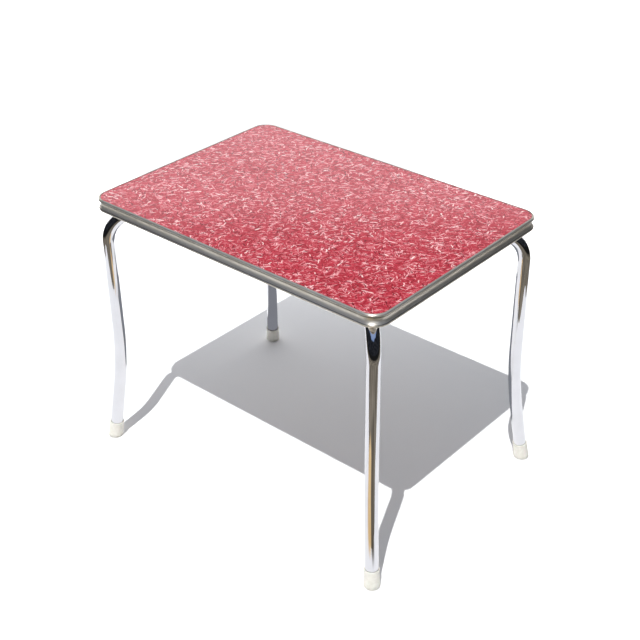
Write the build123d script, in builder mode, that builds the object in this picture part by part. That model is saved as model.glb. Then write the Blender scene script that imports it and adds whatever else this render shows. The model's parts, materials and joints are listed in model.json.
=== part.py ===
from build123d import *
import os
from math import atan2, cos, degrees, hypot, radians, sin

# A small mid-century table: a laminated top with a ribbed metal edge band, carried by four
# bent chrome tube legs that stand on rubber caps. Millimetres, +Z up, the origin on the
# floor under the middle of the top, the long side along X.

# ---------------------------------------------------------------- driving dimensions

# Top
top_length = 711.2              # over the edge band
top_width = 495.3
top_height = 574.0              # floor to laminate surface
lip_width = 5.0                 # how far the edge band stands out from the board
board_corner_radius = 29.0
laminate_thickness = 1.3
core_thickness = 19.05
backer_thickness = 0.8
easing = 0.25                   # broken top edge of the laminate

# Edge band section: a bead above, a bead below and a hollow cove between them
band_wall = 0.8
band_bead_radius = 3.0
band_bead_spacing = 19.4        # height between the two bead centres
band_proud = 0.3                # how far the upper bead stands above the laminate
lip_drop = 0.15                 # fall of the lip from the bead's crest to the laminate
band_flange_end = 14.0          # how far the lower flange reaches in under the board
band_flange_bend = 1.0          # radius of the bend from lower bead to flange
band_gap = 0.1                  # play between the band and the board
band_lip_gap = 0.05             # play between the band and the laminate's edge
seam_width = 0.4

# Legs
tube_diameter = 25.4
tube_wall = 1.2
foot_x = 360.0                  # where a leg's axis meets the floor
foot_y = 254.0
leg_angle = 45.0                # direction of a leg's plane, from the X axis
knee_height = 203.0
knee_inset = 32.7               # how far the knee stands inside the foot
knee_radius = 950.0
elbow_radius = 63.5
run_height = 538.0              # axis of the flat run under the top
run_length = 130.0              # flat run, from the end of the elbow

# Foot caps
cap_height = 37.0
cap_top_radius = 14.9
cap_bottom_radius = 15.7
cap_floor = 3.8                 # rubber under the tube's end, along the axis
cap_edge_radius = 3.2
cap_rim_radius = 0.8
disc_thickness = 1.4
disc_radius = 11.0
play = 0.05                     # clearance between parts that touch

# End plugs
plug_flange_thickness = 2.2
plug_depth = 14.0
plug_wall = 1.6

# Corner plates and fasteners
plate_thickness = 2.0
plate_length = 142.0
plate_width = 68.0
plate_corner_radius = 12.0
bolt_places = (28.0, 98.0)      # along the flat run, from the end of the elbow
bolt_diameter = 6.35
bolt_length = 44.5
bolt_head_width = 11.1
bolt_head_height = 4.2
tee_flange_radius = 9.5
tee_flange_thickness = 1.4
tee_barrel_radius = 4.0
tee_length = 15.0
saddle_radius = 8.0
saddle_floor = 1.5              # thinnest part of a saddle washer
saddle_height = 3.6
screw_inset = 9.0               # plate screws, from the plate's edges
plate_screw_radius = 2.1
plate_screw_head_radius = 4.0
plate_screw_length = 15.0
band_screw_radius = 1.3
band_screw_head_radius = 2.7
band_screw_length = 11.0
band_screw_line = 8.6           # from the board's edge to the row of screws
band_screws_long = (-300.0, -180.0, -60.0, 60.0, 180.0, 300.0)
band_screws_short = (-165.0, -55.0, 55.0, 165.0)
slot_width = 0.9

# ---------------------------------------------------------------- derived dimensions

board_length = top_length - 2 * lip_width
board_width = top_width - 2 * lip_width
core_top = top_height - laminate_thickness
core_bottom = core_top - core_thickness
underside = core_bottom - backer_thickness
plate_top = underside - play
plate_bottom = plate_top - plate_thickness

tube_radius = tube_diameter / 2
out_x = cos(radians(leg_angle))
out_y = sin(radians(leg_angle))
lower_lean = hypot(knee_inset, knee_height)
tube_start = cap_floor + disc_thickness + 3 * play
elbow_end = -knee_inset - elbow_radius
run_end = elbow_end - run_length
tube_bottom = run_height - tube_radius
saddle_bottom = tube_bottom - saddle_floor - play
bolt_seat = saddle_bottom - play

corners = {
    "front_left": (-1, -1),
    "front_right": (1, -1),
    "back_right": (1, 1),
    "back_left": (-1, 1),
}


# ---------------------------------------------------------------- helpers

def leg_plane(side_x, side_y):
    """Upright plane through a leg, its origin at the foot: x points outwards, y up."""
    dir_x = side_x * out_x
    dir_y = side_y * out_y
    foot = (side_x * foot_x, side_y * foot_y, 0)
    return Plane(origin=foot, x_dir=(dir_x, dir_y, 0), z_dir=(dir_y, -dir_x, 0))


def foot_plane(side_x, side_y):
    """Plane across the lower leg at the floor, its z up along the leaning tube."""
    upright = leg_plane(side_x, side_y)
    up_axis = upright.from_local_coords(Vector(-knee_inset, knee_height, 0)) - upright.origin
    return Plane(origin=upright.origin, x_dir=upright.z_dir, z_dir=up_axis)


def run_point(side_x, side_y, along, across=0.0):
    """Plan position under the top: along the flat run from the elbow, and across it."""
    upright = leg_plane(side_x, side_y)
    place = upright.from_local_coords(Vector(elbow_end - along, 0, across))
    return (place.X, place.Y)


def run_direction(side_x, side_y):
    """Angle of the flat run, in degrees from the X axis."""
    return degrees(atan2(side_y * out_y, side_x * out_x))


def bolt_points(side_x, side_y):
    return [run_point(side_x, side_y, along) for along in bolt_places]


def plate_center(side_x, side_y):
    return run_point(side_x, side_y, sum(bolt_places) / 2)


def plate_screw_points(side_x, side_y):
    middle = sum(bolt_places) / 2
    reach = plate_length / 2 - screw_inset
    half = plate_width / 2 - screw_inset
    places = [(middle + sx * reach, sy * half) for sx in (-1, 1) for sy in (-1, 1)]
    return [run_point(side_x, side_y, along, across) for along, across in places]


def band_screw_points():
    line_x = board_length / 2 - band_screw_line
    line_y = board_width / 2 - band_screw_line
    long_sides = [(x, side * line_y) for side in (-1, 1) for x in band_screws_long]
    short_sides = [(side * line_x, y) for side in (-1, 1) for y in band_screws_short]
    return long_sides + short_sides


all_corners = list(corners.values())
all_bolts = [point for sides in all_corners for point in bolt_points(*sides)]
all_plate_screws = [point for sides in all_corners for point in plate_screw_points(*sides)]
screw_clearance = plate_screw_radius + play
band_screw_clearance = band_screw_radius + play


# ---------------------------------------------------------------- top boards

with BuildPart() as laminate_sheet:
    with BuildSketch(Plane.XY.offset(core_top)):
        RectangleRounded(board_length, board_width, board_corner_radius)
    extrude(amount=laminate_thickness)
    chamfer(laminate_sheet.faces().sort_by(Axis.Z)[-1].edges(), easing)

with BuildPart() as core_board:
    with BuildSketch(Plane.XY.offset(core_bottom)):
        RectangleRounded(board_length, board_width, board_corner_radius)
    extrude(amount=core_thickness)
    with Locations(*[(x, y, core_top) for x, y in all_bolts]):
        CounterBoreHole(
            tee_barrel_radius + play,
            tee_flange_radius + play,
            tee_flange_thickness + play,
            depth=core_thickness,
        )
    with BuildSketch(Plane.XY.offset(core_bottom)):
        with Locations(*all_plate_screws):
            Circle(screw_clearance)
    extrude(amount=plate_screw_length, mode=Mode.SUBTRACT)
    with BuildSketch(Plane.XY.offset(core_bottom)):
        with Locations(*band_screw_points()):
            Circle(band_screw_clearance)
    extrude(amount=band_screw_length, mode=Mode.SUBTRACT)

with BuildPart() as backer_sheet:
    with BuildSketch(Plane.XY.offset(underside)):
        RectangleRounded(board_length, board_width, board_corner_radius)
        with Locations(*all_bolts):
            Circle(tee_barrel_radius + play, mode=Mode.SUBTRACT)
        with Locations(*all_plate_screws):
            Circle(screw_clearance, mode=Mode.SUBTRACT)
        with Locations(*band_screw_points()):
            Circle(band_screw_clearance, mode=Mode.SUBTRACT)
    extrude(amount=backer_thickness)


# ---------------------------------------------------------------- edge band

bead_out = lip_width - band_bead_radius                 # bead centres, out from the board
band_top = top_height + band_proud
upper_bead = band_top - band_bead_radius
band_middle = upper_bead - band_bead_spacing / 2
lower_bead = upper_bead - band_bead_spacing
cove_back = band_gap + band_wall                        # deepest point of the cove's face
half_spacing = band_bead_spacing / 2
# The cove's arc touches both beads: its centre lies cove_back + cove_radius out from the board.
cove_radius = (
    (cove_back - bead_out) ** 2 + half_spacing ** 2 - band_bead_radius ** 2
) / (2 * (band_bead_radius - cove_back + bead_out))
cove_center = cove_back + cove_radius
flange_top = underside - play
flange_bottom = flange_top - band_wall


def toward(start, end, distance):
    """The point at a distance from the first point, in the direction of the second."""
    part = distance / hypot(end[0] - start[0], end[1] - start[1])
    return (start[0] + (end[0] - start[0]) * part, start[1] + (end[1] - start[1]) * part)


def band_section(plane):
    """Closed section of the edge band: x is out from the board's edge, y is height."""
    bead = band_bead_radius
    inner = bead - band_wall
    bend = band_flange_bend
    # The flange's bend, below the flange and touching the lower bead
    bend_z = flange_bottom - bend
    bend_x = bead_out - (bead + bend) * cos(asin_ratio(lower_bead - bend_z, bead + bend))
    bend_center = (bend_x, bend_z)
    bend_middle = (bend_x + 0.55, bend_z + 1.0)
    upper = (bead_out, upper_bead)
    lower = (bead_out, lower_bead)
    hollow = (cove_center, band_middle)
    crest = (bead_out, band_top)
    lip = (band_lip_gap, band_top - lip_drop)
    lip_middle = (bead_out / 2, band_top - lip_drop / 4)

    with BuildSketch(plane) as section:
        with BuildLine():
            # Face side, from the lip at the laminate down to the flange's tip
            upper_face = toward(upper, hollow, bead)
            lower_face = toward(lower, hollow, bead)
            lower_end = toward(lower, bend_center, bead)
            flange_start = (bend_x, flange_bottom)
            flange_tip = (-band_flange_end, flange_bottom)
            ThreePointArc(lip, lip_middle, crest)
            ThreePointArc(crest, bead_point(upper, bead, 35), upper_face)
            ThreePointArc(upper_face, (cove_back, band_middle), lower_face)
            ThreePointArc(lower_face, bead_point(lower, bead, -60), lower_end)
            ThreePointArc(lower_end, toward(bend_center, bend_middle, bend), flange_start)
            Line(flange_start, flange_tip)
            # Back side, from the flange's tip up to the lip again
            tip_back = (-band_flange_end, flange_top)
            bend_back = (bend_x, flange_top)
            lower_back_end = toward(lower, bend_center, inner)
            lower_back = toward(lower, hollow, inner)
            upper_back = toward(upper, hollow, inner)
            crest_back = (bead_out, band_top - band_wall)
            lip_back = (lip[0], lip[1] - band_wall)
            lip_back_middle = (lip_middle[0], lip_middle[1] - band_wall)
            Line(flange_tip, tip_back)
            Line(tip_back, bend_back)
            outer_bend = toward(bend_center, bend_middle, bend + band_wall)
            ThreePointArc(bend_back, outer_bend, lower_back_end)
            ThreePointArc(lower_back_end, bead_point(lower, inner, -60), lower_back)
            ThreePointArc(lower_back, (band_gap, band_middle), upper_back)
            ThreePointArc(upper_back, bead_point(upper, inner, 35), crest_back)
            ThreePointArc(crest_back, lip_back_middle, lip_back)
            Line(lip_back, lip)
        make_face()
    return section.sketch


def asin_ratio(side, slope):
    """Angle, in radians, whose sine is side over slope."""
    return atan2(side, (slope ** 2 - side ** 2) ** 0.5)


def bead_point(center, radius, angle):
    """Point on a bead at an angle above the outward direction."""
    return (center[0] + radius * cos(radians(angle)), center[1] + radius * sin(radians(angle)))


half_length = board_length / 2
half_width = board_width / 2
straight_length = board_length - 2 * board_corner_radius
straight_width = board_width - 2 * board_corner_radius


def edge_plane(x, y, angle):
    """Upright plane on the board's edge, its x pointing outwards at an angle in plan."""
    out = (cos(radians(angle)), sin(radians(angle)), 0)
    return Plane(origin=(x, y, 0), x_dir=out, z_dir=(out[1], -out[0], 0))


with BuildPart() as edge_band:
    # Straight stretches, each run along its plane's normal from its starting point
    half_seam = seam_width / 2
    half_stretch = straight_length / 2
    stretches = [
        (half_length, straight_width / 2, 0, straight_width),
        (-half_length, -straight_width / 2, 180, straight_width),
        (half_stretch, -half_width, -90, straight_length),
        (half_seam, half_width, 90, half_stretch - half_seam),
        (-half_stretch, half_width, 90, half_stretch - half_seam),
    ]
    for x, y, angle, distance in stretches:
        extrude(band_section(edge_plane(x, y, angle)), amount=distance)
    # Rounded corners
    for side_x, side_y in all_corners:
        center_x = side_x * straight_length / 2
        center_y = side_y * straight_width / 2
        start = edge_plane(side_x * half_length, center_y, 0 if side_x > 0 else 180)
        turning_axis = Axis((center_x, center_y, 0), (0, 0, side_x * side_y))
        revolve(band_section(start), axis=turning_axis, revolution_arc=90)
    with BuildSketch(Plane.XY.offset(flange_bottom)):
        with Locations(*band_screw_points()):
            Circle(band_screw_clearance)
    extrude(amount=band_wall, mode=Mode.SUBTRACT)


# ---------------------------------------------------------------- fasteners under the top

def screw(head_radius, shank_radius, length, head_base):
    """A slotted pan-head screw that points up, its head hanging below head_base."""
    head_height = head_radius * 0.62
    tip = shank_radius * 2.2
    with BuildPart() as one_screw:
        with BuildSketch(Plane.XZ):
            with BuildLine():
                Line((0, head_base - head_height), (head_radius * 0.6, head_base - head_height))
                SagittaArc(
                    (head_radius * 0.6, head_base - head_height),
                    (head_radius, head_base),
                    -head_radius * 0.16,
                )
                Polyline(
                    (head_radius, head_base),
                    (shank_radius, head_base),
                    (shank_radius, head_base + length - tip),
                    (0, head_base + length),
                    (0, head_base - head_height),
                )
            make_face()
        revolve(axis=Axis.Z)
        with BuildSketch(Plane.XY.offset(head_base - head_height)):
            Rectangle(2.2 * head_radius, slot_width)
        extrude(amount=head_height * 0.45, mode=Mode.SUBTRACT)
    return one_screw.part


def screw_group(points, head_radius, shank_radius, length, head_base, first_turn):
    """Equal screws at several points, their slots left at uneven angles."""
    one_screw = screw(head_radius, shank_radius, length, head_base)
    with BuildPart() as group:
        for number, (x, y) in enumerate(points):
            with Locations(Location((x, y, 0), (0, 0, first_turn + 67 * number))):
                add(one_screw)
    return group


band_screws = screw_group(
    band_screw_points(), band_screw_head_radius, band_screw_radius,
    band_screw_length - 1, flange_bottom - play, 20,
)


def make_plate(side_x, side_y):
    """Sheet steel plate between the flat run and the board."""
    middle = plate_center(side_x, side_y)
    with BuildPart() as plate:
        with BuildSketch(Plane.XY.offset(plate_bottom)):
            with Locations(Location((*middle, 0), (0, 0, run_direction(side_x, side_y)))):
                RectangleRounded(plate_length, plate_width, plate_corner_radius)
            with Locations(*bolt_points(side_x, side_y)):
                Circle(bolt_diameter / 2 + 0.3, mode=Mode.SUBTRACT)
            with Locations(*plate_screw_points(side_x, side_y)):
                Circle(screw_clearance, mode=Mode.SUBTRACT)
        extrude(amount=plate_thickness)
        chamfer(plate.faces().sort_by(Axis.Z)[0].outer_wire().edges(), 0.3)
    return plate


def make_bolts(side_x, side_y):
    """Hexagon bolts that point up through the tube and the plate."""
    with BuildPart() as bolts:
        with BuildSketch(Plane.XY.offset(bolt_seat - bolt_head_height)):
            with Locations(*bolt_points(side_x, side_y)):
                RegularPolygon(bolt_head_width / 2, 6, major_radius=False)
        extrude(amount=bolt_head_height)
        chamfer(bolts.faces().filter_by(Axis.Z).group_by(Axis.Z)[0].edges(), 0.6)
        with BuildSketch(Plane.XY.offset(bolt_seat)):
            with Locations(*bolt_points(side_x, side_y)):
                Circle(bolt_diameter / 2)
        extrude(amount=bolt_length)
        chamfer(bolts.faces().filter_by(Axis.Z).group_by(Axis.Z)[-1].edges(), 0.8)
    return bolts


def make_saddles(side_x, side_y):
    """Washers whose upper face is hollowed to sit on the round tube."""
    run_plane = Plane(
        origin=(*plate_center(side_x, side_y), run_height),
        z_dir=(side_x * out_x, side_y * out_y, 0),
    )
    with BuildPart() as saddles:
        with BuildSketch(Plane.XY.offset(saddle_bottom)):
            with Locations(*bolt_points(side_x, side_y)):
                Circle(saddle_radius)
                Circle(bolt_diameter / 2 + 0.15, mode=Mode.SUBTRACT)
        extrude(amount=saddle_height)
        with BuildSketch(run_plane):
            Circle(tube_radius + play)
        extrude(amount=run_length, both=True, mode=Mode.SUBTRACT)
    return saddles


def make_tee_nuts(side_x, side_y):
    """Flanged nuts let into the board from above, under the laminate."""
    with BuildPart() as nuts:
        with BuildSketch(Plane.XY.offset(core_top - tee_flange_thickness)):
            with Locations(*bolt_points(side_x, side_y)):
                Circle(tee_flange_radius)
        extrude(amount=tee_flange_thickness - play)
        with BuildSketch(Plane.XY.offset(core_top - tee_length)):
            with Locations(*bolt_points(side_x, side_y)):
                Circle(tee_barrel_radius)
        extrude(amount=tee_length - tee_flange_thickness)
        with BuildSketch(Plane.XY.offset(core_top - tee_length)):
            with Locations(*bolt_points(side_x, side_y)):
                Circle(bolt_diameter / 2 + play)
        extrude(amount=tee_length, mode=Mode.SUBTRACT)
    return nuts


# ---------------------------------------------------------------- legs

def make_leg(side_x, side_y):
    """Bent tube: a splayed foot, a gentle knee, an upright, an elbow and a flat run."""
    upright = leg_plane(side_x, side_y)
    start_x = -knee_inset * tube_start / lower_lean
    start_z = knee_height * tube_start / lower_lean
    with BuildPart() as leg:
        with BuildLine(upright) as leg_axis:
            FilletPolyline(
                (start_x, start_z),
                (-knee_inset, knee_height),
                (-knee_inset, run_height),
                (run_end, run_height),
                radius=[knee_radius, elbow_radius],
            )
        with BuildSketch(Plane(origin=leg_axis.line @ 0, z_dir=leg_axis.line % 0)):
            Circle(tube_radius)
            Circle(tube_radius - tube_wall, mode=Mode.SUBTRACT)
        sweep(path=leg_axis.line)
        with BuildSketch(Plane.XY.offset(run_height - tube_diameter)):
            with Locations(*bolt_points(side_x, side_y)):
                Circle(bolt_diameter / 2 + 0.15)
        extrude(amount=2 * tube_diameter, mode=Mode.SUBTRACT)
    return leg


def make_end_plug(side_x, side_y):
    """Plug in the open inner end of the flat run: a domed flange and a hollow spigot."""
    upright = leg_plane(side_x, side_y)
    mouth = upright.from_local_coords(Vector(run_end, run_height, 0))
    inwards = Vector(-side_x * out_x, -side_y * out_y, 0)
    mouth_plane = Plane(origin=mouth, x_dir=upright.z_dir, z_dir=inwards)
    spigot_radius = tube_radius - tube_wall - play
    with BuildPart() as plug:
        with BuildSketch(mouth_plane.offset(play)):
            Circle(tube_radius)
        extrude(amount=plug_flange_thickness)
        fillet(plug.faces().sort_by(Axis(mouth, inwards))[-1].edges(), 1.2)
        with BuildSketch(mouth_plane.offset(play)):
            Circle(spigot_radius)
            Circle(spigot_radius - plug_wall, mode=Mode.SUBTRACT)
        extrude(amount=-plug_depth)
    return plug


def make_foot_cap(side_x, side_y):
    """Rubber cap along the leaning tube, flared downwards and cut level at the floor."""
    across = foot_plane(side_x, side_y)
    below = 8.0
    flare = (cap_bottom_radius - cap_top_radius) / cap_height
    with BuildPart() as cap:
        with BuildSketch(across.offset(-below)):
            Circle(cap_bottom_radius + flare * below)
        extrude(amount=cap_height + below, taper=degrees(atan2(flare, 1)))
        split(bisect_by=Plane.XY, keep=Keep.TOP)
        fillet(cap.faces().sort_by(Axis.Z)[0].edges(), cap_edge_radius)
        fillet(cap.faces().sort_by(Axis.Z)[-1].edges(), cap_rim_radius)
        with BuildSketch(across.offset(cap_floor)):
            Circle(tube_radius + play)
        extrude(amount=cap_height, mode=Mode.SUBTRACT)
    return cap


def make_foot_disc(side_x, side_y):
    """Steel disc between the tube's end and the rubber."""
    across = foot_plane(side_x, side_y)
    with BuildPart() as disc:
        with BuildSketch(across.offset(cap_floor + play)):
            Circle(disc_radius)
        extrude(amount=disc_thickness)
    return disc


# ---------------------------------------------------------------- write the pieces

pieces = {
    "laminate_sheet": laminate_sheet,
    "core_board": core_board,
    "backer_sheet": backer_sheet,
    "edge_band": edge_band,
    "edge_band_screws": band_screws,
}
for number, (corner, (side_x, side_y)) in enumerate(corners.items()):
    pieces["leg_" + corner] = make_leg(side_x, side_y)
    pieces["foot_cap_" + corner] = make_foot_cap(side_x, side_y)
    pieces["foot_disc_" + corner] = make_foot_disc(side_x, side_y)
    pieces["end_plug_" + corner] = make_end_plug(side_x, side_y)
    pieces["corner_plate_" + corner] = make_plate(side_x, side_y)
    pieces["leg_bolts_" + corner] = make_bolts(side_x, side_y)
    pieces["saddle_washers_" + corner] = make_saddles(side_x, side_y)
    pieces["tee_nuts_" + corner] = make_tee_nuts(side_x, side_y)
    pieces["plate_screws_" + corner] = screw_group(
        plate_screw_points(side_x, side_y), plate_screw_head_radius, plate_screw_radius,
        plate_screw_length, plate_bottom - play, 40 * number,
    )

os.makedirs("parts", exist_ok=True)
for name, piece in pieces.items():
    piece.part.label = name
    export_step(piece.part, "parts/" + name + ".step")
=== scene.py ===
"""Looks of a small chrome-legged laminate table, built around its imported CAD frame. Metres."""
import json
import math

import bmesh
import bpy
from mathutils import Matrix, Vector


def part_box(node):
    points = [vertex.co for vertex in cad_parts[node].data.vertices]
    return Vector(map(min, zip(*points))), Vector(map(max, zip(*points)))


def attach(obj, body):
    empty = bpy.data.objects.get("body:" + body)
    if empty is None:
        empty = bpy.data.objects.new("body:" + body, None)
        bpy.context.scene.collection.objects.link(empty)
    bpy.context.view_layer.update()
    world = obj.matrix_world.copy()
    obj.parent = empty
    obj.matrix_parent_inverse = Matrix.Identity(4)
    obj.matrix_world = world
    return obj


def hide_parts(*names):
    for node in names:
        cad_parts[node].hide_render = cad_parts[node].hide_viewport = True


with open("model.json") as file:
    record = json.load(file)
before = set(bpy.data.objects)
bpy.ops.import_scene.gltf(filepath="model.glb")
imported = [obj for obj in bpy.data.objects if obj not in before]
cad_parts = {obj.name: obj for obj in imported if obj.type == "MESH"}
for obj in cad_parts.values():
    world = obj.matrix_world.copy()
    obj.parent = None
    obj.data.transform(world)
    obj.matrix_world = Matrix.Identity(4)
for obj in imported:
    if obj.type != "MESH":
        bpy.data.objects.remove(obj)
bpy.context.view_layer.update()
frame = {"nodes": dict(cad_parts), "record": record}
record = frame["record"]
nodes = frame["nodes"]

# ------------------------------------------------------------------ sizes

MM = 0.001
CORNERS = {
    "front_left": (-1, -1),
    "front_right": (1, -1),
    "back_right": (1, 1),
    "back_left": (-1, 1),
}
foot_places = {
    m["name"].removeprefix("foot_"): Vector(m["pos_m"])
    for m in record["mounts"] if m["name"].startswith("foot_")
}

board_low, board_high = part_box("backer_sheet")
band_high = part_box("edge_band")[1]
leg_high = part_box("leg_front_right")[1]

half_length = board_high.x
half_width = board_high.y
band_top = band_high.z
underside = board_low.z
board_corner = 29.0 * MM

camera_azimuth = math.radians(41.171)       # from -Y towards +X, where the viewer stands
sun_travel = Vector((-0.11, 0.24, -0.56)).normalized()      # direction that the key light travels

tube_radius = 12.7 * MM
tube_wall = 1.2 * MM
knee_height = 203.0 * MM
knee_inset = 32.7 * MM
lean = math.atan2(knee_inset, knee_height)
knee_radius = 950.0 * MM
elbow_radius = 63.5 * MM
run_length = 130.0 * MM
run_height = leg_high.z - tube_radius
tube_start = 5.4 * MM           # tube's lower end above the floor, along its axis
play = 0.05 * MM


# ------------------------------------------------------------------ node graph helper

class Graph:
    """Adds nodes to one node tree and wires them; an input may be a socket or a plain value."""

    def __init__(self, tree):
        self.tree = tree

    def node(self, kind, inputs=None, **settings):
        made = self.tree.nodes.new(kind)
        for key, value in settings.items():
            setattr(made, key, value)
        for key, value in (inputs or {}).items():
            self.feed(made.inputs[key], value)
        return made

    def feed(self, socket, value):
        if isinstance(value, bpy.types.NodeSocket):
            self.tree.links.new(value, socket)
        else:
            socket.default_value = value

    def math(self, operation, first, second=0.0, third=0.0, clamp=False):
        made = self.node("ShaderNodeMath", operation=operation, use_clamp=clamp)
        for socket, value in zip(made.inputs, (first, second, third)):
            self.feed(socket, value)
        return made.outputs[0]

    def vector(self, operation, first, second=(0, 0, 0)):
        made = self.node("ShaderNodeVectorMath", operation=operation)
        self.feed(made.inputs[0], first)
        self.feed(made.inputs[1], second)
        return made.outputs[0]

    def scaled(self, vector, factor):
        made = self.node("ShaderNodeVectorMath", operation="SCALE")
        self.feed(made.inputs[0], vector)
        self.feed(made.inputs["Scale"], factor)
        return made.outputs[0]

    def split(self, vector):
        return self.node("ShaderNodeSeparateXYZ", {"Vector": vector}).outputs

    def join(self, x, y, z=0.0):
        return self.node("ShaderNodeCombineXYZ", {"X": x, "Y": y, "Z": z}).outputs[0]

    def smooth(self, value, low, high, to_low=0.0, to_high=1.0):
        made = self.node("ShaderNodeMapRange", interpolation_type="SMOOTHSTEP")
        for key, item in zip(("Value", "From Min", "From Max", "To Min", "To Max"),
                             (value, low, high, to_low, to_high)):
            self.feed(made.inputs[key], item)
        return made.outputs[0]

    def spread(self, value, low, high, to_low, to_high):
        made = self.node("ShaderNodeMapRange", clamp=True)
        for key, item in zip(("Value", "From Min", "From Max", "To Min", "To Max"),
                             (value, low, high, to_low, to_high)):
            self.feed(made.inputs[key], item)
        return made.outputs[0]

    def noise(self, vector, scale, detail=2.0, roughness=0.5, dimensions="3D"):
        return self.node(
            "ShaderNodeTexNoise",
            {"Vector": vector, "Scale": scale, "Detail": detail, "Roughness": roughness},
            noise_dimensions=dimensions,
        )

    def mix(self, factor, first, second, blend="MIX"):
        made = self.node("ShaderNodeMix", data_type="RGBA", blend_type=blend)
        self.feed(made.inputs[0], factor)
        self.feed(made.inputs[6], first)
        self.feed(made.inputs[7], second)
        return made.outputs[2]

    def blend_values(self, factor, first, second):
        made = self.node("ShaderNodeMix", data_type="FLOAT")
        self.feed(made.inputs[0], factor)
        self.feed(made.inputs[2], first)
        self.feed(made.inputs[3], second)
        return made.outputs[0]

    def ramp(self, value, stops):
        made = self.node("ShaderNodeValToRGB", {"Fac": value})
        elements = made.color_ramp.elements
        elements[0].position, elements[0].color = stops[0][0], (*stops[0][1], 1)
        elements[1].position, elements[1].color = stops[-1][0], (*stops[-1][1], 1)
        for position, color in stops[1:-1]:
            elements.new(position).color = (*color, 1)
        return made.outputs[0]

    def bump(self, height, strength, distance):
        return self.node(
            "ShaderNodeBump", {"Height": height, "Strength": strength, "Distance": distance}
        ).outputs[0]


def new_material(name, settings):
    """A material with one Principled shader; settings go straight onto its sockets."""
    material = bpy.data.materials.new(name)
    material.use_nodes = True
    tree = material.node_tree
    tree.nodes.clear()
    graph = Graph(tree)
    shader = graph.node("ShaderNodeBsdfPrincipled", settings)
    output = graph.node("ShaderNodeOutputMaterial")
    tree.links.new(shader.outputs[0], output.inputs[0])
    return material, graph, shader


def place(graph):
    """Position on the object, in metres in the table's own frame."""
    return graph.node("ShaderNodeTexCoord").outputs["Object"]


# ------------------------------------------------------------------ laminate

# Flakes, measured in cells of their layer; a pair is the least value and what chance adds to it
flake_lie = math.radians(41.171)        # flakes tend to lie at this angle from +X
flake_half_long = (0.50, 0.45)
flake_half_wide = (0.055, 0.11)
flake_crook = 0.6                       # how far a flake may curve
flake_edge = (0.72, 1.05)               # where a flake fades out; 1 is its outline
flake_streak = (1.6, 9.0)               # streaks inside a flake, along and across it
flake_tones = 0.60                      # how much lighter the lightest flake is
layer_shift = (7.31, 3.17)              # keeps the layers' cells apart
cell_warp = 0.5


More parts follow.
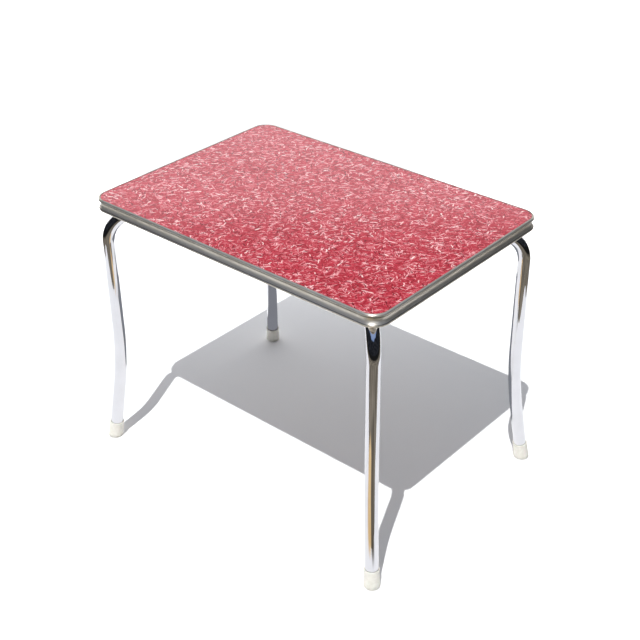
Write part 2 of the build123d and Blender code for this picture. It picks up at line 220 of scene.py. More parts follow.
def pearl_layer():
    """One layer of cracked-ice flakes: curved, streaked shards at random angles over what is below."""
    tree = bpy.data.node_groups.new("pearl_layer", "ShaderNodeTree")
    for name, kind in (("place", "NodeSocketVector"), ("below", "NodeSocketFloat"),
                       ("per_metre", "NodeSocketFloat"), ("seed", "NodeSocketFloat"),
                       ("brightness", "NodeSocketFloat"), ("slimness", "NodeSocketFloat"),
                       ("share", "NodeSocketFloat")):
        tree.interface.new_socket(name, in_out="INPUT", socket_type=kind)
    tree.interface.new_socket("tone", in_out="OUTPUT", socket_type="NodeSocketFloat")
    g = Graph(tree)
    given = g.node("NodeGroupInput").outputs
    offset = g.join(g.math("MULTIPLY", given["seed"], layer_shift[0]),
                    g.math("MULTIPLY", given["seed"], layer_shift[1]))
    cells = g.vector("ADD", g.scaled(given["place"], given["per_metre"]), offset)
    wander = g.noise(cells, 0.9, 1.0, dimensions="2D").outputs["Color"]
    warp = g.vector("SUBTRACT", wander, (0.5, 0.5, 0.5))
    bent = g.vector("ADD", cells, g.scaled(warp, cell_warp))
    flat = g.vector("MULTIPLY", bent, (1, 1, 0))
    cell = g.node("ShaderNodeTexVoronoi", {"Vector": flat, "Scale": 1.0, "Randomness": 1.0},
                  voronoi_dimensions="2D", feature="F1")
    local = g.vector("SUBTRACT", flat, cell.outputs["Position"])
    chance = g.node("ShaderNodeSeparateColor", {"Color": cell.outputs["Color"]}).outputs
    # Each flake's angle off the common lie: any angle, small ones more often
    aside = g.math("SUBTRACT", g.math("MULTIPLY", chance[0], 2.0), 1.0)
    aside = g.math("MULTIPLY", aside, g.math("SQRT", g.math("ABSOLUTE", aside)))
    turn = g.math("ADD", g.math("MULTIPLY", aside, math.pi / 2), -flake_lie)
    turned = g.node("ShaderNodeVectorRotate", {"Vector": local, "Angle": turn}, rotation_type="Z_AXIS")
    x, y, _ = g.split(turned.outputs[0])
    crook = g.math("MULTIPLY", g.math("SUBTRACT", chance[1], 0.5), flake_crook)
    y = g.math("ADD", y, g.math("MULTIPLY", crook, g.math("MULTIPLY", x, x)))
    half_long = g.math("ADD", g.math("MULTIPLY", chance[1], flake_half_long[1]), flake_half_long[0])
    half_wide = g.math("ADD", g.math("MULTIPLY", chance[2], flake_half_wide[1]), flake_half_wide[0])
    half_wide = g.math("MULTIPLY", half_wide, given["slimness"])
    x_part = g.math("DIVIDE", x, half_long)
    y_part = g.math("DIVIDE", y, half_wide)
    reach = g.math("ADD", g.math("MULTIPLY", x_part, x_part), g.math("MULTIPLY", y_part, y_part))
    cover = g.smooth(reach, *flake_edge, 1.0, 0.0)
    drawn = g.math("LESS_THAN", g.math("FRACT", g.math("MULTIPLY", chance[0], 13.7)), given["share"])
    cover = g.math("MULTIPLY", cover, drawn)
    streak = g.noise(g.join(g.math("MULTIPLY", x, flake_streak[0]),
                            g.math("MULTIPLY", y, flake_streak[1]), chance[0]), 1.0, 2.0)
    tone = g.math("MULTIPLY", g.math("POWER", chance[2], 1.6), flake_tones)
    tone = g.math("ADD", tone, given["brightness"])
    tone = g.math("ADD", tone, g.math("MULTIPLY", y_part, 0.20))
    tone = g.math("ADD", tone, g.math("MULTIPLY", g.math("SUBTRACT", streak.outputs[0], 0.5), 0.55))
    rim = g.math("MULTIPLY", g.smooth(reach, 0.45, 0.95), 0.16)
    tone = g.math("SUBTRACT", tone, rim, clamp=True)
    result = g.blend_values(cover, given["below"], tone)
    out = g.node("NodeGroupOutput")
    tree.links.new(result, out.inputs["tone"])
    return tree


LAMINATE_COLORS = [
    (0.00, (0.130, 0.001, 0.006)),
    (0.18, (0.310, 0.004, 0.013)),
    (0.38, (0.515, 0.026, 0.048)),
    (0.58, (0.630, 0.118, 0.145)),
    (0.78, (0.770, 0.350, 0.370)),
    (1.00, (0.980, 0.800, 0.770)),
]

# From the lowest layer up: flakes per metre, seed, brightness, slimness, share of cells with a flake
LAMINATE_LAYERS = [
    (62.0, 1.0, 0.26, 1.5, 1.0),
    (86.0, 2.0, 0.20, 1.0, 1.0),
    (74.0, 3.0, 0.24, 0.75, 1.0),
    (108.0, 4.0, 0.20, 0.85, 1.0),
    (92.0, 5.0, 0.20, 0.70, 1.0),
    (140.0, 6.0, 0.20, 0.8, 0.7),
    (96.0, 9.0, -0.26, 0.95, 0.60),
    (84.0, 7.0, 0.42, 0.80, 0.36),
    (104.0, 8.0, 0.40, 0.72, 0.40),
    (120.0, 11.0, -0.28, 0.75, 0.35),
]


def laminate_material():
    """Glossy laminate printed with layers of pearly flakes over a mottled red."""
    material, g, shader = new_material("red_laminate", {"Specular IOR Level": 0.5, "IOR": 1.5})
    where = place(g)
    layer = pearl_layer()
    tone = g.spread(g.noise(where, 42.0, 3.0).outputs[0], 0.3, 0.7, 0.28, 0.42)
    for per_metre, seed, brightness, slimness, share in LAMINATE_LAYERS:
        made = g.node("ShaderNodeGroup", node_tree=layer)
        for key, value in (("place", where), ("below", tone), ("per_metre", per_metre), ("seed", seed),
                           ("brightness", brightness), ("slimness", slimness), ("share", share)):
            g.feed(made.inputs[key], value)
        tone = made.outputs["tone"]
    drift = g.spread(g.noise(where, 5.0, 2.0).outputs[0], 0.3, 0.7, -0.03, 0.03)
    tone = g.math("ADD", tone, drift, clamp=True)
    g.feed(shader.inputs["Base Color"], g.ramp(tone, LAMINATE_COLORS))
    smudge = g.noise(where, 9.0, 4.0, 0.6).outputs[0]
    g.feed(shader.inputs["Roughness"], g.spread(smudge, 0.3, 0.7, 0.055, 0.095))
    peel = g.noise(where, 900.0, 2.0).outputs[0]
    g.feed(shader.inputs["Normal"], g.bump(peel, 0.06, 0.00005))
    return material


# ------------------------------------------------------------------ metals

# Places on the band's face, as lengths down its outline from the lip's inner end
joint_shade = (0.0008, 0.0022)          # painted shade along the laminate, fading out
bead_creases = (0.0091, 0.0259)         # where each bead turns into the cove
crease_shade = (0.0003, 0.0013)         # painted shade either side of a crease, fading out
hollow_begins = (0.0066, 0.0085)        # painted shade under the upper bead, fading in
hollow_ends = (0.0102, 0.0142)          # and fading out
highlight_line = 0.0190                    # painted highlight: the cove's brightest line
highlight_fade = (0.0020, 0.0050)


def band_material():
    """Satin metal drawn along its length, with painted shade along the laminate, at its creases and in its
    hollow, and a painted highlight line down the cove; run and across are lengths stored on the mesh.
    """
    material, g, shader = new_material("band_metal", {"Metallic": 0.93, "Anisotropic": 0.75,
                                                      "Anisotropic Rotation": 0.25})
    run = g.node("ShaderNodeAttribute", attribute_name="run").outputs["Fac"]
    across = g.node("ShaderNodeAttribute", attribute_name="across").outputs["Fac"]
    drawn = g.join(g.math("MULTIPLY", run, 5.0), g.math("MULTIPLY", across, 1500.0))
    lines = g.noise(drawn, 1.0, 3.0).outputs[0]
    where = place(g)
    patina = g.noise(where, 30.0, 4.0, 0.6).outputs[0]
    mottled = g.mix(g.spread(patina, 0.35, 0.7, 0.0, 1.0), (0.77, 0.715, 0.61, 1), (0.64, 0.585, 0.475, 1))
    tinted = g.mix(g.spread(lines, 0.35, 0.65, 0.0, 0.45), mottled, (0.83, 0.80, 0.735, 1))
    # Painted shade: the base colour goes near black along the joint with the laminate, at the bead creases
    # and in the hollow under the upper bead
    painted_shade = g.smooth(across, *joint_shade, 0.65, 0.0)
    for crease in bead_creases:
        off = g.math("ABSOLUTE", g.math("SUBTRACT", across, crease))
        painted_shade = g.math("MAXIMUM", painted_shade, g.smooth(off, *crease_shade, 0.75, 0.0))
    hollow = g.math("MULTIPLY", g.smooth(across, *hollow_begins), g.smooth(across, *hollow_ends, 1.0, 0.0))
    painted_shade = g.math("MAXIMUM", painted_shade, hollow)
    # Painted highlight: the base colour is lightened along a line down the cove
    off = g.math("ABSOLUTE", g.math("SUBTRACT", across, highlight_line))
    tinted = g.mix(g.smooth(off, *highlight_fade, 0.9, 0.0), tinted, (0.96, 0.92, 0.835, 1))
    worn = g.join(g.math("MULTIPLY", run, 170.0), g.math("MULTIPLY", across, 420.0))
    nicks = g.noise(worn, 1.0, 2.0).outputs[0]
    tinted = g.mix(g.smooth(nicks, 0.70, 0.76, 0.0, 0.7), tinted, (0.95, 0.94, 0.91, 1))
    tinted = g.mix(g.smooth(nicks, 0.29, 0.24, 0.0, 0.6), tinted, (0.22, 0.21, 0.19, 1))
    g.feed(shader.inputs["Base Color"], g.mix(painted_shade, tinted, (0.10, 0.090, 0.074, 1)))
    base = g.spread(lines, 0.3, 0.7, 0.36, 0.42)
    g.feed(shader.inputs["Roughness"], g.math("ADD", base, g.spread(patina, 0.4, 0.7, 0.0, 0.08)))
    g.feed(shader.inputs["Normal"], g.bump(lines, 0.25, 0.00004))
    g.feed(shader.inputs["Tangent"], g.node("ShaderNodeAttribute", attribute_name="along").outputs["Vector"])
    return material


def chrome_material():
    """Bright chrome with a slight haze, fine drawn lines and a faint wave."""
    material, g, shader = new_material("chrome_tube", {"Metallic": 1.0})
    where = place(g)
    haze = g.noise(where, 26.0, 4.0, 0.6).outputs[0]
    g.feed(shader.inputs["Base Color"], g.mix(g.spread(haze, 0.4, 0.75, 0.0, 1.0),
                                              (0.70, 0.70, 0.725, 1), (0.66, 0.66, 0.68, 1)))
    fine = g.noise(g.vector("MULTIPLY", where, (1.0, 1.0, 0.12)), 2600.0, 2.0).outputs[0]
    rough = g.spread(haze, 0.35, 0.75, 0.025, 0.06)
    g.feed(shader.inputs["Roughness"], g.math("ADD", rough, g.spread(fine, 0.6, 0.8, 0.0, 0.05)))
    wave = g.noise(where, 35.0, 1.0).outputs[0]
    g.feed(shader.inputs["Normal"], g.bump(wave, 0.10, 0.0004))
    return material


def steel_material(name, light, dark, rough_low, rough_high, grain):
    """Plated or rolled steel with a mottled, slightly stained face."""
    material, g, shader = new_material(name, {"Metallic": 1.0})
    where = place(g)
    spots = g.noise(where, grain, 5.0, 0.65).outputs[0]
    g.feed(shader.inputs["Base Color"], g.mix(g.spread(spots, 0.35, 0.65, 0.0, 1.0), light, dark))
    g.feed(shader.inputs["Roughness"], g.spread(spots, 0.3, 0.7, rough_low, rough_high))
    g.feed(shader.inputs["Normal"], g.bump(spots, 0.15, 0.0001))
    return material


# ------------------------------------------------------------------ rubber, plastic, board

def cap_material():
    """Off-white rubber, mottled, and darker in blotches near the floor."""
    material, g, shader = new_material("cap_rubber", {"Subsurface Weight": 0.05, "Subsurface Scale": 0.002})
    where = place(g)
    height = g.split(where)[2]
    mottle = g.noise(where, 160.0, 4.0, 0.6).outputs[0]
    clean = g.mix(g.spread(mottle, 0.3, 0.7, 0.0, 1.0), (0.80, 0.78, 0.71, 1), (0.71, 0.685, 0.61, 1))
    # Darker in blotches within a centimetre of the floor
    near_floor = g.smooth(height, 0.0, 0.010, 1.0, 0.0)
    darker_low = g.math("MULTIPLY", near_floor, g.spread(mottle, 0.35, 0.6, 0.1, 0.6))
    g.feed(shader.inputs["Base Color"], g.mix(darker_low, clean, (0.36, 0.33, 0.28, 1)))
    g.feed(shader.inputs["Roughness"], g.spread(mottle, 0.3, 0.7, 0.45, 0.62))
    g.feed(shader.inputs["Normal"], g.bump(g.noise(where, 1400.0, 2.0).outputs[0], 0.12, 0.0001))
    return material


def plug_material():
    material, g, shader = new_material("plug_plastic", {})
    grain = g.noise(place(g), 900.0, 3.0).outputs[0]
    g.feed(shader.inputs["Base Color"], g.mix(grain, (0.022, 0.022, 0.023, 1), (0.045, 0.044, 0.043, 1)))
    g.feed(shader.inputs["Roughness"], g.spread(grain, 0.3, 0.7, 0.42, 0.55))
    g.feed(shader.inputs["Normal"], g.bump(grain, 0.2, 0.0001))
    return material


def backer_material():
    """Brown phenolic paper sheet: fibres, a fine sanded grain and a few pale rubs."""
    material, g, shader = new_material("backer", {})
    where = place(g)
    fibres = g.noise(g.vector("MULTIPLY", where, (1.0, 6.0, 1.0)), 140.0, 4.0, 0.65).outputs[0]
    cloud = g.noise(where, 7.0, 4.0, 0.6).outputs[0]
    brown = g.mix(g.spread(cloud, 0.3, 0.7, 0.0, 1.0), (0.120, 0.062, 0.034, 1), (0.175, 0.098, 0.056, 1))
    g.feed(shader.inputs["Base Color"], g.mix(g.spread(fibres, 0.35, 0.75, 0.0, 0.55), brown,
                                              (0.235, 0.150, 0.095, 1)))
    g.feed(shader.inputs["Roughness"], g.spread(fibres, 0.3, 0.7, 0.55, 0.75))
    g.feed(shader.inputs["Normal"], g.bump(fibres, 0.25, 0.0002))
    return material


def plywood_material():
    material, g, shader = new_material("plywood", {"Roughness": 0.7})
    where = place(g)
    rings = g.noise(g.vector("MULTIPLY", where, (2.0, 18.0, 400.0)), 6.0, 3.0, 0.6).outputs[0]
    g.feed(shader.inputs["Base Color"], g.mix(rings, (0.60, 0.42, 0.24, 1), (0.34, 0.21, 0.11, 1)))
    g.feed(shader.inputs["Normal"], g.bump(rings, 0.2, 0.0002))
    return material


materials = {
    "red_laminate": laminate_material(),
    "band_metal": band_material(),
    "chrome_tube": chrome_material(),
    "cap_rubber": cap_material(),
    "plug_plastic": plug_material(),
    "backer": backer_material(),
    "plywood": plywood_material(),
    "zinc_steel": steel_material("zinc_steel", (0.66, 0.66, 0.67, 1), (0.48, 0.47, 0.45, 1),
                                 0.28, 0.45, 420.0),
    "plate_steel": steel_material("plate_steel", (0.46, 0.46, 0.47, 1), (0.30, 0.28, 0.26, 1),
                                  0.35, 0.55, 160.0),
}


# ------------------------------------------------------------------ meshes

def finish_piece(bm, name, node, sharp_angle=math.radians(35)):
    """Makes an object from bm: smooth faces, sharp edges kept, its material and body set."""
    slot = next(s["material_slot"] for s in record["subparts"] if s["node"] == node)
    bmesh.ops.recalc_face_normals(bm, faces=bm.faces)
    for face in bm.faces:
        face.smooth = True
    for edge in bm.edges:
        edge.smooth = len(edge.link_faces) == 2 and edge.calc_face_angle(0.0) < sharp_angle
    mesh = bpy.data.meshes.new(name)
    bm.to_mesh(mesh)
    bm.free()
    piece = bpy.data.objects.new(name, mesh)
    piece.data.materials.append(materials[slot])
    bpy.context.scene.collection.objects.link(piece)
    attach(piece, "root")
    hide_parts(node)
    return piece


def join_rings(bm, rings, closed=False):
    """Quads between neighbouring rings of vertices; closed joins the last ring to the first."""
    pairs = list(zip(rings, rings[1:]))
    if closed:
        pairs.append((rings[-1], rings[0]))
    count = len(rings[0])
    for first, second in pairs:
        for i in range(count):
            j = (i + 1) % count
            bm.faces.new((first[i], first[j], second[j], second[i]))


def arc_points(center, radius, start, end, steps):
    """Points on a circle from one angle to another, in degrees, ends included."""
    points = []
    for i in range(steps + 1):
        angle = math.radians(start + (end - start) * i / steps)
        points.append((center[0] + radius * math.cos(angle), center[1] + radius * math.sin(angle)))
    return points


# Edge band section: beads above and below a hollow cove, and a flange under the board
band_wall = 0.8 * MM
bead_radius = 3.0 * MM
bead_spacing = 19.4 * MM
lip_width = band_high.x - half_length
lip_drop = 0.15 * MM
band_gap = 0.1 * MM
lip_gap = 0.05 * MM
flange_reach = 14.0 * MM
flange_bend = 1.0 * MM
seam_half = 0.2 * MM


def angle_of(start, end):
    return math.degrees(math.atan2(end[1] - start[1], end[0] - start[0]))


def band_outline():
    """Closed outline of the band's section: x out from the board's edge, y height."""
    bead_x = lip_width - bead_radius
    upper = (bead_x, band_top - bead_radius)
    lower = (bead_x, upper[1] - bead_spacing)
    middle = (upper[1] + lower[1]) / 2
    cove_back = band_gap + band_wall
    half = bead_spacing / 2
    cove_radius = ((cove_back - bead_x) ** 2 + half ** 2 - bead_radius ** 2) \
        / (2 * (bead_radius - cove_back + bead_x))
    cove = (cove_back + cove_radius, middle)
    flange_top = underside - play
    flange_bottom = flange_top - band_wall
    bend_y = flange_bottom - flange_bend
    reach = bead_radius + flange_bend
    bend = (bead_x - math.sqrt(reach ** 2 - (lower[1] - bend_y) ** 2), bend_y)
    to_cove_up = angle_of(upper, cove)
    to_cove_low = angle_of(lower, cove)
    to_bend = angle_of(lower, bend) % 360
    from_cove_up = angle_of(cove, upper) % 360
    from_cove_low = angle_of(cove, lower) % 360
    from_bend = angle_of(bend, lower)

    lip_steps, cove_steps, bead_steps, bend_steps, flange_steps = 5, 18, 20, 6, 3

    def side(bead, cove_r, bend_r, drop):
        """One face of the band from lip to flange; drop is its depth below the outer face."""
        line = [(lip_gap, band_top - lip_drop - drop)]
        line += [(bead_x * k / lip_steps, band_top - drop - lip_drop * (1 - k / lip_steps) ** 2)
                 for k in range(1, lip_steps)]
        line += arc_points(upper, bead, 90, to_cove_up, cove_steps)
        line += arc_points(cove, cove_r, from_cove_up, from_cove_low, cove_steps)[1:]
        line += arc_points(lower, bead, to_cove_low, to_bend - 360, bead_steps)[1:]
        line += arc_points(bend, bend_r, from_bend, 90, bend_steps)[1:]
        line += [(bend[0] - (flange_reach + bend[0]) * k / flange_steps,
                  flange_bottom if drop == 0 else flange_top) for k in range(1, flange_steps + 1)]
        return line

    face = side(bead_radius, cove_radius, flange_bend, 0.0)
    back = side(bead_radius - band_wall, cove_radius + band_wall, flange_bend + band_wall, band_wall)
    return face + back[::-1]


def band_path():
    """Stations round the board from seam to seam: edge point, outward direction, length so far."""
    straight_x = half_length - board_corner
    straight_y = half_width - board_corner
    corner_steps = 24
    stations = []

    def straight(start, end, out, step=0.008):
        count = max(1, round((end - start).length / step))
        for i in range(count + 1):
            stations.append((start.lerp(end, i / count), out))

    def corner(center, start_angle):
        for i in range(1, corner_steps):
            angle = math.radians(start_angle - 90 * i / corner_steps)
            out = Vector((math.cos(angle), math.sin(angle), 0))
            stations.append((center + out * board_corner, out))

    front, back = Vector((0, -1, 0)), Vector((0, 1, 0))
    right, left = Vector((1, 0, 0)), Vector((-1, 0, 0))
    straight(Vector((seam_half, half_width, 0)), Vector((straight_x, half_width, 0)), back)
    corner(Vector((straight_x, straight_y, 0)), 90)
    straight(Vector((half_length, straight_y, 0)), Vector((half_length, -straight_y, 0)), right)
    corner(Vector((straight_x, -straight_y, 0)), 0)
    straight(Vector((straight_x, -half_width, 0)), Vector((-straight_x, -half_width, 0)), front)
    corner(Vector((-straight_x, -straight_y, 0)), -90)
    straight(Vector((-half_length, -straight_y, 0)), Vector((-half_length, straight_y, 0)), left)
    corner(Vector((-straight_x, straight_y, 0)), 180)
    straight(Vector((-straight_x, half_width, 0)), Vector((-seam_half, half_width, 0)), back)
    length = 0.0
    measured = []
    for i, (point, out) in enumerate(stations):
        if i:
            length += (point - stations[i - 1][0]).length
        measured.append((point, out, length))
    return measured


def make_edge_band():
    outline = band_outline()
    across = [0.0]
    for first, second in zip(outline, outline[1:]):
        across.append(across[-1] + math.hypot(second[0] - first[0], second[1] - first[1]))
    bm = bmesh.new()
    run_layer = bm.verts.layers.float.new("run")
    across_layer = bm.verts.layers.float.new("across")
    along_layer = bm.verts.layers.float_vector.new("along")
    rings = []
    for point, out, length in band_path():
        ring = []
        for (x, height), distance in zip(outline, across):
            spot = point + out * x
            vertex = bm.verts.new((spot.x, spot.y, height))
            vertex[run_layer] = length
            vertex[across_layer] = distance
            vertex[along_layer] = (-out.y, out.x, 0.0)
            ring.append(vertex)
        rings.append(ring)
    join_rings(bm, rings)
    bm.faces.new(rings[0])
    bm.faces.new(rings[-1][::-1])
    return finish_piece(bm, "edge_band_formed", "edge_band")


# ------------------------------------------------------------------ legs and caps

def leg_axis():
    """Centre line of a leg in its own upright plane: (outwards, up, direction) from foot to run."""
    knee_steps, elbow_steps = 24, 40
    points = []
    up = Vector((-math.sin(lean), math.cos(lean)))
    start = up * tube_start
    tangent = knee_radius * math.tan(lean / 2)
    knee = Vector((-knee_inset, knee_height))
    knee_start = knee - up * tangent
    knee_end = knee + Vector((0, 1)) * tangent

    def straight(first, last, count):
        direction = (last - first).normalized()
        for i in range(count):
            points.append((first.lerp(last, i / count), direction))

    straight(start, knee_start, 16)
    # Knee: the axis turns from leaning inwards to upright
    knee_center = knee_start + Vector((-up.y, up.x)) * -knee_radius
    for i in range(knee_steps):
        angle = lean * i / knee_steps
        direction = Vector((-math.sin(lean - angle), math.cos(lean - angle)))
        points.append((knee_center + Vector((-direction.y, direction.x)) * knee_radius, direction))
    elbow_start = Vector((-knee_inset, run_height - elbow_radius))
    straight(knee_end, elbow_start, 24)
    elbow_center = elbow_start + Vector((-elbow_radius, 0))
    for i in range(elbow_steps):
        angle = math.radians(90) * i / elbow_steps
        direction = Vector((-math.sin(angle), math.cos(angle)))
        radial = Vector((math.cos(angle), math.sin(angle)))
        points.append((elbow_center + radial * elbow_radius, direction))
    run_start = elbow_center + Vector((0, elbow_radius))
    straight(run_start, run_start + Vector((-run_length, 0)), 16)
    points.append((run_start + Vector((-run_length, 0)), Vector((-1, 0))))
    return points


def make_leg(corner, side_x, side_y):
    """One open tube, swept along the leg's centre line."""
    foot = foot_places[corner]
    outward = Vector((side_x, side_y, 0)).normalized()
    sideways = Vector((0, 0, 1)).cross(outward)
    bm = bmesh.new()
    segments = 56
    outer, inner = [], []
    for place_2d, direction in leg_axis():
        center = foot + outward * place_2d.x + Vector((0, 0, place_2d.y))
        across = outward * direction.y - Vector((0, 0, direction.x))
        for rings, radius in ((outer, tube_radius), (inner, tube_radius - tube_wall)):
            ring = []
            for i in range(segments):
                angle = 2 * math.pi * i / segments
                around = across * math.cos(angle) + sideways * math.sin(angle)
                ring.append(bm.verts.new(center + around * radius))
            rings.append(ring)
    join_rings(bm, outer + inner[::-1], closed=True)
    return finish_piece(bm, "leg_tube_" + corner, "leg_" + corner)


cap_height = 37.0 * MM
cap_top_radius = 14.9 * MM
cap_bottom_radius = 15.7 * MM
cap_floor = 3.8 * MM


def make_foot_cap(corner, side_x, side_y):
    """Rubber cap round the leaning tube, its foot level on the floor and its rim square to the tube."""
    foot = foot_places[corner]
    outward = Vector((side_x, side_y, 0)).normalized()
    axis = Vector((0, 0, 1)) * math.cos(lean) - outward * math.sin(lean)
    across = outward * math.cos(lean) + Vector((0, 0, 1)) * math.sin(lean)
    sideways = axis.cross(across)
    edge = 3.0 * MM             # radius of the foot's edge
    rim = 0.9 * MM              # radius of the rim's edge
    rim_out = 0.25 * MM         # the rim stands out by this much
    waist_depth = 0.25 * MM
    foot_inset = 0.6 * MM       # from the foot's edge to its first inner ring
    body_end = 2.4 * MM         # below the rim's edge, where the tapered body stops
    rim_start = 1.6 * MM        # below the rim's edge, where the rim is at full width
    mouth_gap = 0.6 * MM        # the mouth stands off the tube by this much
    mouth_step = (0.35 * MM, 0.4 * MM)      # then by this much, this far down
    mouth_depth = 2.6 * MM      # and meets the bore here
    # (radius, height, level): level 1 keeps the height above the floor, 0 keeps it along the axis
    profile = [(cap_bottom_radius * 0.45, 0.0, 1.0), (cap_bottom_radius - edge - foot_inset, 0.0, 1.0)]
    profile += [(cap_bottom_radius - edge + edge * math.sin(math.radians(a)),
                 edge - edge * math.cos(math.radians(a)), 1.0) for a in range(0, 91, 10)]
    body = 10
    for i in range(1, body + 1):
        k = i / body
        height = edge + (cap_height - rim - body_end - edge) * k
        waist = waist_depth * math.sin(math.pi * k)
        radius = cap_bottom_radius + (cap_top_radius - cap_bottom_radius) * k - waist
        profile.append((radius, height, 1.0 - k))
    profile.append((cap_top_radius + rim_out, cap_height - rim - rim_start, 0.0))
    profile += [(cap_top_radius + rim_out - rim + rim * math.cos(math.radians(a)),
                 cap_height - rim + rim * math.sin(math.radians(a)), 0.0) for a in range(0, 91, 15)]
    bore = tube_radius + play
    profile += [(bore + mouth_gap, cap_height, 0.0),
                (bore + mouth_step[0], cap_height - mouth_step[1], 0.0),
                (bore, cap_height - mouth_depth, 0.0)]
    profile += [(bore, cap_height * k, 0.0) for k in (0.8, 0.5, 0.25)]
    profile += [(bore, cap_floor, 0.0), (bore * 0.5, cap_floor, 0.0)]
    bm = bmesh.new()
    segments = 64
    rings = []
    for radius, height, level in profile:
        ring = []
        for i in range(segments):
            angle = 2 * math.pi * i / segments
            radial = (across * math.cos(angle) + sideways * math.sin(angle)) * radius
            along = height - level * radial.z / axis.z
            if level == 1.0:
                along = (height - radial.z) / axis.z
            ring.append(bm.verts.new(foot + axis * along + radial))
        rings.append(ring)
    join_rings(bm, rings)
    bm.faces.new(rings[0][::-1])
    bm.faces.new(rings[-1])
    return finish_piece(bm, "foot_cap_moulded_" + corner, "foot_cap_" + corner)


# ------------------------------------------------------------------ stage: floor, lights, camera

def make_floor():
    half = 30.0
    bm = bmesh.new()
    square = ((-half, -half), (half, -half), (half, half), (-half, half))
    bm.faces.new([bm.verts.new((x, y, 0)) for x, y in square])
    mesh = bpy.data.meshes.new("floor")
    bm.to_mesh(mesh)
    bm.free()
    floor = bpy.data.objects.new("floor", mesh)
    bpy.context.scene.collection.objects.link(floor)
    material, g, shader = new_material("floor", {"Roughness": 0.9, "Specular IOR Level": 0.2})
    where = place(g)
    cloud = g.noise(where, 3.0, 3.0).outputs[0]
    g.feed(shader.inputs["Base Color"], g.mix(cloud, (0.86, 0.86, 0.87, 1), (0.90, 0.90, 0.90, 1)))
    floor.data.materials.append(material)
    return floor


def hide_but_reflect(card):
    """Leaves an object visible in reflections only: it lights and shades nothing."""
    card.visible_camera = False
    card.visible_diffuse = False
    card.visible_shadow = False
    card.visible_transmission = False


def make_card(name, bm, paint):
    """A studio card, seen in reflections only; paint(graph) returns its colour and its cover, 0 to 1."""
    mesh = bpy.data.meshes.new(name)
    bm.to_mesh(mesh)
    bm.free()
    card = bpy.data.objects.new(name, mesh)
    bpy.context.scene.collection.objects.link(card)
    hide_but_reflect(card)
    material = bpy.data.materials.new(name)
    material.use_nodes = True
    material.node_tree.nodes.clear()
    g = Graph(material.node_tree)
    color, cover = paint(g)
    glow = g.node("ShaderNodeEmission", {"Color": color, "Strength": 1.0})
    clear = g.node("ShaderNodeBsdfTransparent")
    surface = g.node("ShaderNodeMixShader", {"Fac": cover})
    material.node_tree.links.new(clear.outputs[0], surface.inputs[1])
    material.node_tree.links.new(glow.outputs[0], surface.inputs[2])
    output = g.node("ShaderNodeOutputMaterial")
    material.node_tree.links.new(surface.outputs[0], output.inputs[0])
    card.data.materials.append(material)
    return card


# Heights of the flat cards above the floor, each clear of the one below
ground_card_height = 0.6 * MM
painted_shadow_card_height = 0.9 * MM
dark_patch_height = 1.0 * MM
golden_patch_height = 1.2 * MM

# Directions on the floor as the camera sees them
view_right = Vector((math.cos(camera_azimuth), math.sin(camera_azimuth), 0.0))
view_near = Vector((math.sin(camera_azimuth), -math.cos(camera_azimuth), 0.0))


def floor_point(right, near, height):
    return view_right * right + view_near * near + Vector((0, 0, height))


def rounded_outline(left, right, near, far, radius):
    """Rounded rectangle on the floor, as (right, near) pairs."""
    steps = 12
    points = []
    corners = ((right - radius, near - radius, 0), (left + radius, near - radius, 90),
               (left + radius, -far + radius, 180), (right - radius, -far + radius, 270))
    for center_right, center_near, start in corners:
        for i in range(steps + 1):
            angle = math.radians(start + 90 * i / steps)
            points.append((center_right + radius * math.cos(angle), center_near + radius * math.sin(angle)))
    return points


def make_ground_card():
    """Brown ground beyond the pale sheet that the table stands on, dark further off."""
    bm = bmesh.new()
    spread_out = 16             # the card's outer edge, in times its inner one
    outline = rounded_outline(-1.25, 1.1, 0.62, 2.2, 0.35)
    inner = [bm.verts.new(floor_point(r, n, ground_card_height)) for r, n in outline]
    outer = [bm.verts.new(floor_point(r * spread_out, n * spread_out, ground_card_height))
             for r, n in outline]
    join_rings(bm, [inner, outer])

    def paint(g):
        where = place(g)
        cloud = g.noise(where, 3.5, 4.0, 0.6).outputs[0]
        near = g.mix(g.spread(cloud, 0.35, 0.65, 0.0, 1.0), (0.13, 0.115, 0.092, 1), (0.33, 0.29, 0.23, 1))
        distance = g.node("ShaderNodeVectorMath", {0: where}, operation="LENGTH").outputs["Value"]
        return g.mix(g.smooth(distance, 1.5, 2.4), near, (0.012, 0.012, 0.012, 1)), 1.0

    make_card("ground_card", bm, paint)


def make_floor_patch(name, center, size, dark, light, height):
    """An oval of another colour on the floor, which fades out towards its rim."""
    bm = bmesh.new()
    ring = []
    segments = 36
    for i in range(segments):
        angle = 2 * math.pi * i / segments
        ring.append(bm.verts.new(floor_point(center[0] + size[0] * math.cos(angle),
                                             center[1] + size[1] * math.sin(angle), height)))
    bm.faces.new(ring)
    middle = floor_point(*center, height)

    def paint(g):
        cloud = g.noise(place(g), 9.0, 3.0, 0.6).outputs[0]
        color = g.mix(g.spread(cloud, 0.35, 0.65, 0.0, 1.0), (*dark, 1), (*light, 1))
        offset = g.vector("SUBTRACT", place(g), tuple(middle))
        across = g.node("ShaderNodeVectorMath", {0: offset, 1: tuple(view_right / size[0])},
                        operation="DOT_PRODUCT")
        along = g.node("ShaderNodeVectorMath", {0: offset, 1: tuple(view_near / size[1])},
                       operation="DOT_PRODUCT")
        first = g.math("MULTIPLY", across.outputs["Value"], across.outputs["Value"])
        second = g.math("MULTIPLY", along.outputs["Value"], along.outputs["Value"])
        return color, g.smooth(g.math("ADD", first, second), 0.25, 1.0, 1.0, 0.0)

    make_card(name, bm, paint)


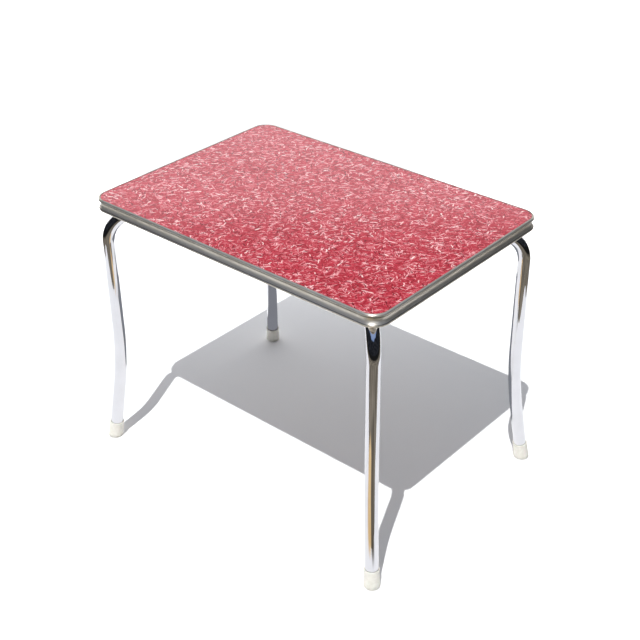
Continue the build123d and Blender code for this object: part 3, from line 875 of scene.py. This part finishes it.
def make_painted_shadow_card():
    """A painted shadow: a dark glowing sheet in the shape of the table's shadow on the floor, seen in
    reflections only, as dark as polished metal shows the shaded floor under the table.
    """
    bm = bmesh.new()
    shift = sun_travel * (band_top / -sun_travel.z)
    steps = 8
    ring = []
    for center_x, center_y, start in ((1, 1, 0), (-1, 1, 90), (-1, -1, 180), (1, -1, 270)):
        for i in range(steps + 1):
            angle = math.radians(start + 90 * i / steps)
            x = center_x * (half_length - board_corner) + board_corner * math.cos(angle) + shift.x
            y = center_y * (half_width - board_corner) + board_corner * math.sin(angle) + shift.y
            ring.append(bm.verts.new((x, y, painted_shadow_card_height)))
    bm.faces.new(ring)
    make_card("painted_shadow_card", bm, lambda g: ((0.275, 0.285, 0.315, 1), 1.0))


def make_dome_card():
    """Surroundings on the viewer's side: dark trees along the horizon, blue sky over them, paler overhead."""
    bm = bmesh.new()
    distance = 9.0
    half_turn = 125             # degrees that the card reaches round to either side
    levels, steps = 24, 60
    rings = []
    for j in range(levels + 1):
        elevation = math.radians(90 * j / levels)
        ring = []
        for i in range(steps + 1):
            angle = math.radians(-half_turn + 2 * half_turn * i / steps)
            around = floor_point(math.sin(angle), math.cos(angle), 0.0)
            toward = around * math.cos(elevation) + Vector((0, 0, math.sin(elevation)))
            ring.append(bm.verts.new(toward * distance))
        rings.append(ring)
    for low, high in zip(rings, rings[1:]):
        for i in range(steps):
            bm.faces.new((low[i], low[i + 1], high[i + 1], high[i]))

    def paint(g):
        where = g.scaled(place(g), 1.0 / distance)
        height = g.split(where)[2]
        skyline = g.spread(g.noise(where, 3.0, 3.0).outputs[0], 0.3, 0.7, -0.07, 0.07)
        trees = g.noise(where, 9.0, 4.0).outputs[0]
        wall = g.mix(g.spread(trees, 0.4, 0.75, 0.0, 1.0), (0.005, 0.006, 0.009, 1), (0.055, 0.058, 0.068, 1))
        sky = g.ramp(height, [
            (0.55, (0.22, 0.33, 0.60)),
            (0.78, (0.34, 0.44, 0.68)),
            (0.93, (0.80, 0.84, 0.95)),
        ])
        edge = g.math("ADD", height, skyline)
        return g.mix(g.smooth(edge, 0.60, 0.66), wall, sky), 1.0

    make_card("dome_card", bm, paint)


def make_lights():
    """A small hard key from high behind the viewer's left, a low fill behind the table, a pale surround."""
    data = bpy.data.lights.new("key", "SUN")
    data.energy = 3.30
    data.angle = math.radians(0.4)
    key = bpy.data.objects.new("key", data)
    key.rotation_mode = "QUATERNION"
    key.rotation_quaternion = sun_travel.to_track_quat("-Z", "Y")
    key.location = sun_travel * -3.0
    bpy.context.scene.collection.objects.link(key)

    glow = bpy.data.lights.new("back_fill", "AREA")
    glow.shape = "RECTANGLE"
    glow.size = 2.4
    glow.size_y = 0.4
    glow.energy = 15.0
    fill = bpy.data.objects.new("back_fill", glow)
    fill.location = floor_point(-0.25, -1.35, 0.30)
    fill.rotation_mode = "QUATERNION"
    aim = view_near * 0.97 - Vector((0, 0, 0.25))
    fill.rotation_quaternion = aim.to_track_quat("-Z", "Y")
    fill.visible_camera = False
    fill.visible_glossy = False
    bpy.context.scene.collection.objects.link(fill)

    world = bpy.data.worlds.new("surround")
    bpy.context.scene.world = world
    world.use_nodes = True
    world.node_tree.nodes.clear()
    g = Graph(world.node_tree)
    direction = g.node("ShaderNodeTexCoord").outputs["Generated"]
    height = g.split(direction)[2]
    near_sky = g.ramp(height, [
        (0.00, (0.31, 0.30, 0.30)),
        (0.40, (0.22, 0.23, 0.25)),
        (0.75, (0.15, 0.17, 0.20)),
        (1.00, (0.17, 0.19, 0.23)),
    ])
    far_sky = g.ramp(height, [
        (0.00, (1.75, 1.72, 1.72)),
        (0.30, (1.60, 1.58, 1.60)),
        (0.38, (1.33, 1.34, 1.38)),
        (0.443, (1.12, 1.14, 1.19)),
        (0.454, (0.60, 0.62, 0.66)),
        (0.467, (0.35, 0.37, 0.41)),
        (0.52, (0.24, 0.26, 0.29)),
        (0.75, (0.22, 0.24, 0.27)),
        (1.00, (0.17, 0.19, 0.23)),
    ])
    dim_side = view_near * 0.85 + view_right * 0.53
    facing = g.node("ShaderNodeVectorMath", {0: direction, 1: tuple(dim_side)}, operation="DOT_PRODUCT")
    sky = g.mix(g.smooth(facing.outputs["Value"], -0.60, 0.10), far_sky, near_sky)
    surround = g.node("ShaderNodeBackground", {"Color": sky, "Strength": 1.0})
    output = g.node("ShaderNodeOutputWorld")
    world.node_tree.links.new(surround.outputs[0], output.inputs[0])


def make_camera():
    """The camera, where the table is seen from in its picture: a standing eye, looking down."""
    azimuth = camera_azimuth
    elevation = math.radians(31.622)
    roll = math.radians(-0.611)
    target = Vector((-0.32846, 0.39498, 0.0))
    distance = 3.0077
    back = Vector((
        math.sin(azimuth) * math.cos(elevation),
        -math.cos(azimuth) * math.cos(elevation),
        math.sin(elevation),
    ))
    right = Vector((math.cos(azimuth), math.sin(azimuth), 0.0))
    up = back.cross(right)
    rolled_right = right * math.cos(roll) + up * math.sin(roll)
    rolled_up = up * math.cos(roll) - right * math.sin(roll)
    data = bpy.data.cameras.new("camera")
    data.sensor_width = 36.0
    data.lens = 66.796
    data.clip_start = 0.05
    data.clip_end = 200.0
    camera = bpy.data.objects.new("camera", data)
    turn = Matrix((rolled_right, rolled_up, back)).transposed().to_4x4()
    camera.matrix_world = Matrix.Translation(target + back * distance) @ turn
    bpy.context.scene.collection.objects.link(camera)
    bpy.context.scene.camera = camera


make_camera()
make_floor()
make_lights()
make_ground_card()
make_floor_patch("golden_patch", (-0.07, 0.655), (0.17, 0.165),
                 (0.86, 0.58, 0.28), (1.10, 0.82, 0.46), golden_patch_height)
make_floor_patch("dark_patch", (0.165, 0.735), (0.12, 0.235),
                 (0.10, 0.085, 0.065), (0.17, 0.15, 0.12), dark_patch_height)
make_painted_shadow_card()
make_dome_card()
bpy.context.scene.view_settings.view_transform = "Standard"

for subpart in record["subparts"]:
    node = nodes[subpart["node"]]
    node.data.materials.clear()
    node.data.materials.append(materials[subpart["material_slot"]])

make_edge_band()
for corner, (side_x, side_y) in CORNERS.items():
    make_leg(corner, side_x, side_y)
    make_foot_cap(corner, side_x, side_y)
